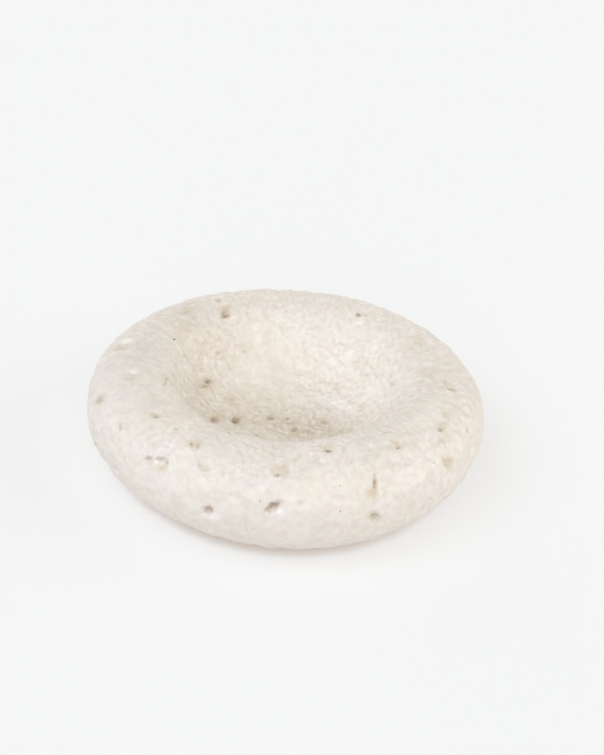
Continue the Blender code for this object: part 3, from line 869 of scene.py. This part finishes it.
def press(mesh, skin, pits, stains_and_painted_light, tones):
    """Presses relief and hollows into the mesh, and leaves on each point what its colour needs."""
    *noises, waver = [Noise(SEED + i) for i in range(NOISE_COUNT)]
    places = positions(mesh)
    travel = read_values(mesh, "travel")
    angle = np.arctan2(read_values(mesh, "back"), read_values(mesh, "across"))
    ring = np.column_stack((COMB_RADIUS * np.cos(angle), COMB_RADIUS * np.sin(angle), travel))
    out = skin.axes(travel, angle)[0]
    line = skin.start["side"] + GLAZE_LINE + GLAZE_WAVER * waver.at(places / DENT_CELL)
    glazed = smooth((travel - line) / GLAZE_EDGE)
    worked = smooth((travel - skin.start["side"]) / RELIEF_START)
    wide, fine, hollow, combed, inner = relief(skin, places, ring, travel, angle, noises)
    ragged = 1 + RAGGED_share * waver.at(places / RAGGED_CELL)
    pressed, lip = np.zeros(len(places)), np.zeros(len(places))
    for middle, first, second, depth in pits:
        near, r = mark_distance(places, middle, first, second)
        r *= 1 + (ragged[near] - 1) / 2
        pressed[near] = np.maximum(pressed[near], depth * smooth((1 - r) / PIT_EDGE_share))
        lip[near] += LIP_share * depth * np.exp(-((r - 1 - LIP_WIDTH_share) / LIP_WIDTH_share) ** 2)
    # Colour masks: brown is partly painted shade, white is painted light, hole is painted shade in the
    # pinholes, the grey tone is painted shade and the darker tan tone is partly painted shade
    values = {kind: np.zeros(len(places)) for kind in (*COLOUR_EDGES_shares, "grey_shade", "pool_and_shade", "calm")}
    for middle, first, second, kind, strength in stains_and_painted_light:
        near, r = mark_distance(places, middle, first, second)
        edge = COLOUR_EDGES_shares[kind]
        share = strength * smooth((1 + COLOUR_BEYOND_share * edge - r * ragged[near]) / edge)
        values[kind][near] = np.maximum(values[kind][near], share)
    for middle, reach, shares in tones:
        near = np.exp(-((places - np.array(middle)) ** 2).sum(axis=1) / reach ** 2)
        for kind, share in zip(("grey_shade", "pool_and_shade", "calm"), shares):
            values[kind] += share * near
    calm = (1 - smooth(pressed / CALM_DEPTH)) * (1 - np.minimum(values["calm"], MOST_CALM_share))
    unglazed = GLAZE_THICKNESS * (1 - glazed)
    depth = worked * (wide + fine * calm + pressed - lip - RELIEF_RISE + unglazed)
    raised = within_model(places, out, -depth)
    mesh.vertices.foreach_set("co", (places + out * raised[:, None]).ravel())
    mesh.update()
    values.update(hollow=hollow * calm * worked, combed=combed, inner=inner, glazed=glazed)
    for name, field in values.items():
        write_values(mesh, name, field)
    attribute = mesh.attributes.new("ring", "FLOAT_VECTOR", "POINT")
    attribute.data.foreach_set("vector", ring.astype(np.float32).ravel())


def unwrap(mesh, skin):
    """Lays the skin out flat by its two measures, and the hollow's walls above it."""
    layer = mesh.uv_layers.new(name="OFBake")
    travel = read_values(mesh, "travel")
    across, back = read_values(mesh, "across"), read_values(mesh, "back")
    places = positions(mesh)
    inside = across ** 2 + back ** 2 < NO_ANGLE
    turn = np.arctan2(places[:, 1], places[:, 0]) / math.tau % 1
    high = np.where(inside, SKIN_UV_share + (1 - SKIN_UV_share) * places[:, 2] / CAD_BOUNDS[1].z,
                    SKIN_UV_share * travel / skin.end)
    corners = np.empty(len(mesh.loops), np.int32)
    mesh.loops.foreach_get("vertex_index", corners)
    starts = np.empty(len(mesh.polygons), np.int32)
    mesh.polygons.foreach_get("loop_start", starts)
    first = np.repeat(starts, np.diff(np.append(starts, len(corners))))
    across_uv = turn[corners]
    across_uv += np.round(turn[corners[first]] - across_uv)
    layer.data.foreach_set("uv", np.column_stack((across_uv, high[corners])).astype(np.float32).ravel())


def photo_camera():
    """The camera, turned so that the bowl lies where it does in the photograph."""
    data = bpy.data.cameras.new("photo_camera")
    data.lens = LENS_mm
    data.sensor_width = SENSOR_mm
    camera = placed("photo_camera", data)
    elevation = math.radians(CAMERA_ELEVATION_DEGREES)
    aside = math.atan((FRAME_WIDTH_px / 2 - AIM_px[0]) / FOCAL_px)
    below = math.atan((AIM_px[1] - FRAME_HEIGHT_px / 2) / FOCAL_px)
    back = Vector((0, -math.cos(elevation), math.sin(elevation)))
    place = Matrix.Translation(Vector((0, 0, AIM_HEIGHT)) + back * CAMERA_DISTANCE)
    camera.matrix_world = (place @ Matrix.Rotation(math.pi / 2 - elevation, 4, "X")
                           @ Matrix.Rotation(math.radians(CAMERA_ROLL_DEGREES), 4, "Z")
                           @ Matrix.Rotation(-aside, 4, "Y") @ Matrix.Rotation(below, 4, "X"))
    bpy.context.scene.camera = camera
    return camera


class Shading:
    """The nodes of a material or a world, made and joined in short calls."""

    def __init__(self, owner):
        self.owner = owner
        owner.use_nodes = True
        self.tree = owner.node_tree
        self.tree.nodes.clear()

    def node(self, kind, inputs=None, **settings):
        made = self.tree.nodes.new("ShaderNode" + kind)
        for name, value in settings.items():
            setattr(made, name, value)
        for name, value in (inputs or {}).items():
            if isinstance(value, bpy.types.NodeSocket):
                self.tree.links.new(value, made.inputs[name])
            else:
                made.inputs[name].default_value = value
        return made

    def value(self, name):
        """A number that the mesh's points carry."""
        return self.node("Attribute", attribute_name=name).outputs["Fac"]

    def math(self, operation, first, second):
        return self.node("Math", {0: first, 1: second}, operation=operation).outputs[0]

    def spread(self, value, low, high, to_low=0.0, to_high=1.0):
        """A number's range stretched to another."""
        return self.node("MapRange", {"Value": value, "From Min": low, "From Max": high,
                                      "To Min": to_low, "To Max": to_high}).outputs[0]

    def noise(self, cell, detail=2.0, stretch=(1, 1, 1), ring=False):
        """Noise with cells of this size, in space or by the bowl's own two measures."""
        place = (self.node("Attribute", attribute_name="ring").outputs["Vector"] if ring
                 else self.node("TexCoord").outputs["Object"])
        scale = [share / cell for share in stretch]
        sized = self.node("Mapping", {"Vector": place, "Scale": scale}).outputs[0]
        return self.node("TexNoise", {"Vector": sized, "Scale": 1.0, "Detail": detail}).outputs["Fac"]

    def patches(self, kind):
        cell, detail, begin, full, least = PATCHES_mm_shares[kind]
        return self.spread(self.noise(cell * MM, detail), begin, full, least)

    def mix(self, share, first, second):
        return self.node("Mix", {0: share, 6: first, 7: second}, data_type="RGBA").outputs[2]

    def bump(self, height, distance, normal=None):
        inputs = {"Height": height, "Distance": distance, "Strength": 1.0}
        if normal:
            inputs["Normal"] = normal
        return self.node("Bump", inputs).outputs[0]

    def shown(self):
        """1 for what the camera sees, also in a gloss or through glass, and 0 for what lights the scene."""
        path = self.node("LightPath").outputs
        direct = self.math("MAXIMUM", path["Is Camera Ray"], path["Is Glossy Ray"])
        return self.math("MAXIMUM", direct, path["Is Transmission Ray"])

    def finish(self, shader, kind="OutputMaterial"):
        self.tree.links.new(shader.outputs[0], self.node(kind).inputs[0])
        return self.owner


def glaze_material():
    """Cream glaze over stoneware: tan and brown where it pooled or broke. Painted shade darkens its hollows a
    little, grey painted shade and painted highlights are laid into it, and part of the brown is painted shade.
    """
    m = Shading(bpy.data.materials.new("cream_glaze"))
    tint = m.patches("tint")
    glaze = m.mix(m.math("MULTIPLY", tint, m.patches("drift")), m.mix(tint, ROSE_CREAM, CREAM), OLIVE_CREAM)
    lines = m.noise(LINE_CELL, 2.0, (1, 1, LINE_LONG_share), ring=True)
    mottle = m.patches("mottle")
    broken = m.patches("broken")
    pooled_and_shaded = m.math("MAXIMUM", m.value("tan"), m.math("MULTIPLY", m.value("brown"), BROWN_TAN_share))
    # Layers of the colour: the hollows, the grey and the darker tan tones carry painted shade, the brown
    # partly, and the white places are painted light
    layers = (
        (m.spread(m.value("hollow"), *VALLEY_SHADE_EDGES), VALLEY_SHADE_share, SHADE_AND_DARK_CREAM),
        (m.math("MULTIPLY", m.value("combed"), m.spread(lines, *LINE_EDGES)), LINE_share, SHADE_AND_DARK_CREAM),
        (mottle, MOTTLE_DARK_share, SHADE_AND_DARK_CREAM),
        (m.math("SUBTRACT", 1.0, mottle), MOTTLE_WHITE_share, CREAM_AND_PAINTED_LIGHT),
        (m.value("grey_shade"), m.patches("grey_shade"), GREY_SHADE),
        (m.value("pool_and_shade"), m.patches("pool_and_shade"), POOL_AND_SHADE),
        (m.value("white"), PAINTED_LIGHT_share, CREAM_AND_PAINTED_LIGHT),
        (pooled_and_shaded, broken, TAN),
        (m.value("brown"), broken, BROWN_POOL_AND_SHADE),
    )
    for mask, share, laid in layers:
        glaze = m.mix(m.math("MULTIPLY", mask, share), glaze, laid)
    clay = m.mix(m.patches("speck"), CLAY, CLAY_SPECK)
    # Pinholes are darkened nearly to black as painted shade
    colour = m.mix(m.value("glazed"), clay, m.mix(m.value("hole"), glaze, PINHOLE_SHADE))
    gloss = m.spread(m.noise(GLOSS_CELL), *GLOSS_EDGES, *ROUGHNESS)
    gloss = m.math("SUBTRACT", gloss, m.math("MULTIPLY", m.value("inner"), INNER_SMOOTHER))
    roughness = m.node("Mix", {0: m.value("glazed"), 2: CLAY_ROUGHNESS, 3: gloss}).outputs[0]
    surface = m.bump(m.noise(SKIN_CELL), SKIN_BUMP)
    surface = m.bump(m.math("MULTIPLY", lines, m.value("combed")), LINE_BUMP, surface)
    return m.finish(m.node("BsdfPrincipled", {"Base Color": colour, "Roughness": roughness, "Normal": surface,
                                              "IOR": 1.5}))


def felt_material():
    """Pressed wool: lighter and darker fibres in all directions."""
    m = Shading(bpy.data.materials.new("wool_felt"))
    fibres = m.noise(FIBRE_CELL, 3.0, (1, FIBRE_STRETCH, FIBRE_STRETCH))
    crossing = m.noise(FIBRE_CELL, 3.0, (FIBRE_STRETCH, 1, FIBRE_STRETCH))
    shade = m.spread(m.math("MULTIPLY", fibres, crossing), *FIBRE_EDGES)
    return m.finish(m.node("BsdfPrincipled", {"Base Color": m.mix(shade, FELT_DARK, FELT),
                                              "Roughness": 0.95, "Sheen Weight": 0.4,
                                              "Normal": m.bump(shade, FIBRE_BUMP)}))


def floor_material():
    """White paper. Where the camera sees it, it is lifted to the photograph's white and keeps its shadow."""
    m = Shading(bpy.data.materials.new("floor_white"))
    shown = m.shown()
    # Painted contact shadow: where the bowl occludes the floor, the lift is darkened
    overhung = m.node("AmbientOcclusion", {"Distance": CONTACT_REACH}, samples=CONTACT_SAMPLES)
    raised = m.mix(m.spread(overhung.outputs["AO"], *CONTACT_SHADOW_EDGES), PAINTED_CONTACT_SHADOW, FLOOR_LIFT)
    lift = m.node("Emission", {"Color": raised, "Strength": shown}).outputs[0]
    paper = m.node("BsdfDiffuse", {"Color": m.mix(shown, FLOOR_WHITE, FLOOR_SHOWN)}).outputs[0]
    return m.finish(m.node("AddShader", {0: paper, 1: lift}))


def world():
    """A dim white room, which the camera sees in the photograph's white."""
    m = Shading(bpy.data.worlds.new("studio"))
    bpy.context.scene.world = m.owner
    light = m.node("Background", {"Color": WHITE, "Strength": ROOM_LIGHT}).outputs[0]
    shown = m.node("Background", {"Color": (WHITE_LIGHT, WHITE_LIGHT, WHITE_LIGHT, 1.0)}).outputs[0]
    m.finish(m.node("MixShader", {0: m.shown(), 1: light, 2: shown}), "OutputWorld")


def lamps():
    """Broad soft light from the front and both sides."""
    for name, (azimuth, elevation, strength, spread, colour) in LAMPS.items():
        data = bpy.data.lights.new(name, "SUN")
        data.color = colour
        data.energy = strength
        data.angle = math.radians(spread)
        a, e = math.radians(azimuth), math.radians(elevation)
        to_lamp = Vector((math.sin(a) * math.cos(e), -math.cos(a) * math.cos(e), math.sin(e)))
        placed(name, data).rotation_euler = to_lamp.to_track_quat("Z", "Y").to_euler()


def floor():
    form = bmesh.new()
    bmesh.ops.create_circle(form, cap_ends=True, segments=64, radius=FLOOR_RADIUS)
    mesh = bpy.data.meshes.new("floor")
    form.to_mesh(mesh)
    form.free()
    mesh.materials.append(floor_material())
    placed("floor", mesh)


def bowl(camera):
    skin = Skin()
    item = placed("bowl", skin_mesh(skin))
    cut_out(item, (hollow_cutter(), vent_cutter()))
    bpy.context.view_layer.update()
    pits, stains_and_painted_light = marks(skin, item, camera)
    tones = glaze_tones(item, camera)
    refine(item.data, pits + stains_and_painted_light, CRATER_SIZE[1], WIDER_share)
    refine(item.data, pits, PINHOLE_SIZE, 1.0)
    press(item.data, skin, pits, stains_and_painted_light, tones)
    unwrap(item.data, skin)
    item.data.shade_smooth()
    item.data.materials.clear()
    item.data.materials.append(glaze_material())
    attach(item, "root")
    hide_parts("bowl_body")


def felt_pad(name, felt, noise):
    """One pressed felt disc with rounded edges and an uneven face, in its node's place."""
    low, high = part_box(name)
    middle, radius, half = (low + high) / 2, (high.x - low.x) / 2, (high.z - low.z) / 2
    turn = np.linspace(0, math.pi / 2, FELT_ROUND_STEPS)
    flat, thick = radius - FELT_ROUND, half - FELT_ROUND
    edge = list(zip(flat + FELT_ROUND * np.sin(turn), thick + FELT_ROUND * np.cos(turn)))
    face = [(share * flat, half) for share in np.linspace(0, 1, FELT_RINGS)[1:-1]]
    rings = [(out, -up) for out, up in face + edge] + [(out, up) for out, up in reversed(face + edge)]
    angle = np.arange(FELT_STEPS) * math.tau / FELT_STEPS
    places = np.vstack([(0, 0, -half)] + [np.column_stack((out * np.cos(angle), out * np.sin(angle),
                                                           np.full(FELT_STEPS, up))) for out, up in rings]
                       + [(0, 0, half)])
    uneven = FELT_UNEVEN_share * (1 - noise.at((places + np.array(middle)) / FELT_CELL)) / 2
    mesh = rings_mesh(name + "_pad", places * (1 - uneven)[:, None], [FELT_STEPS] * len(rings))
    pad = placed(name + "_pad", mesh)
    pad.location = middle
    pad.data.materials.append(felt)
    pad.data.shade_smooth()
    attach(pad, "root")
    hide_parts(name)


bpy.context.scene.view_settings.view_transform = "Standard"
world()
lamps()
floor()
bowl(photo_camera())
felt = felt_material()
for foot in FELT_FEET:
    felt_pad(foot, felt, Noise(SEED))
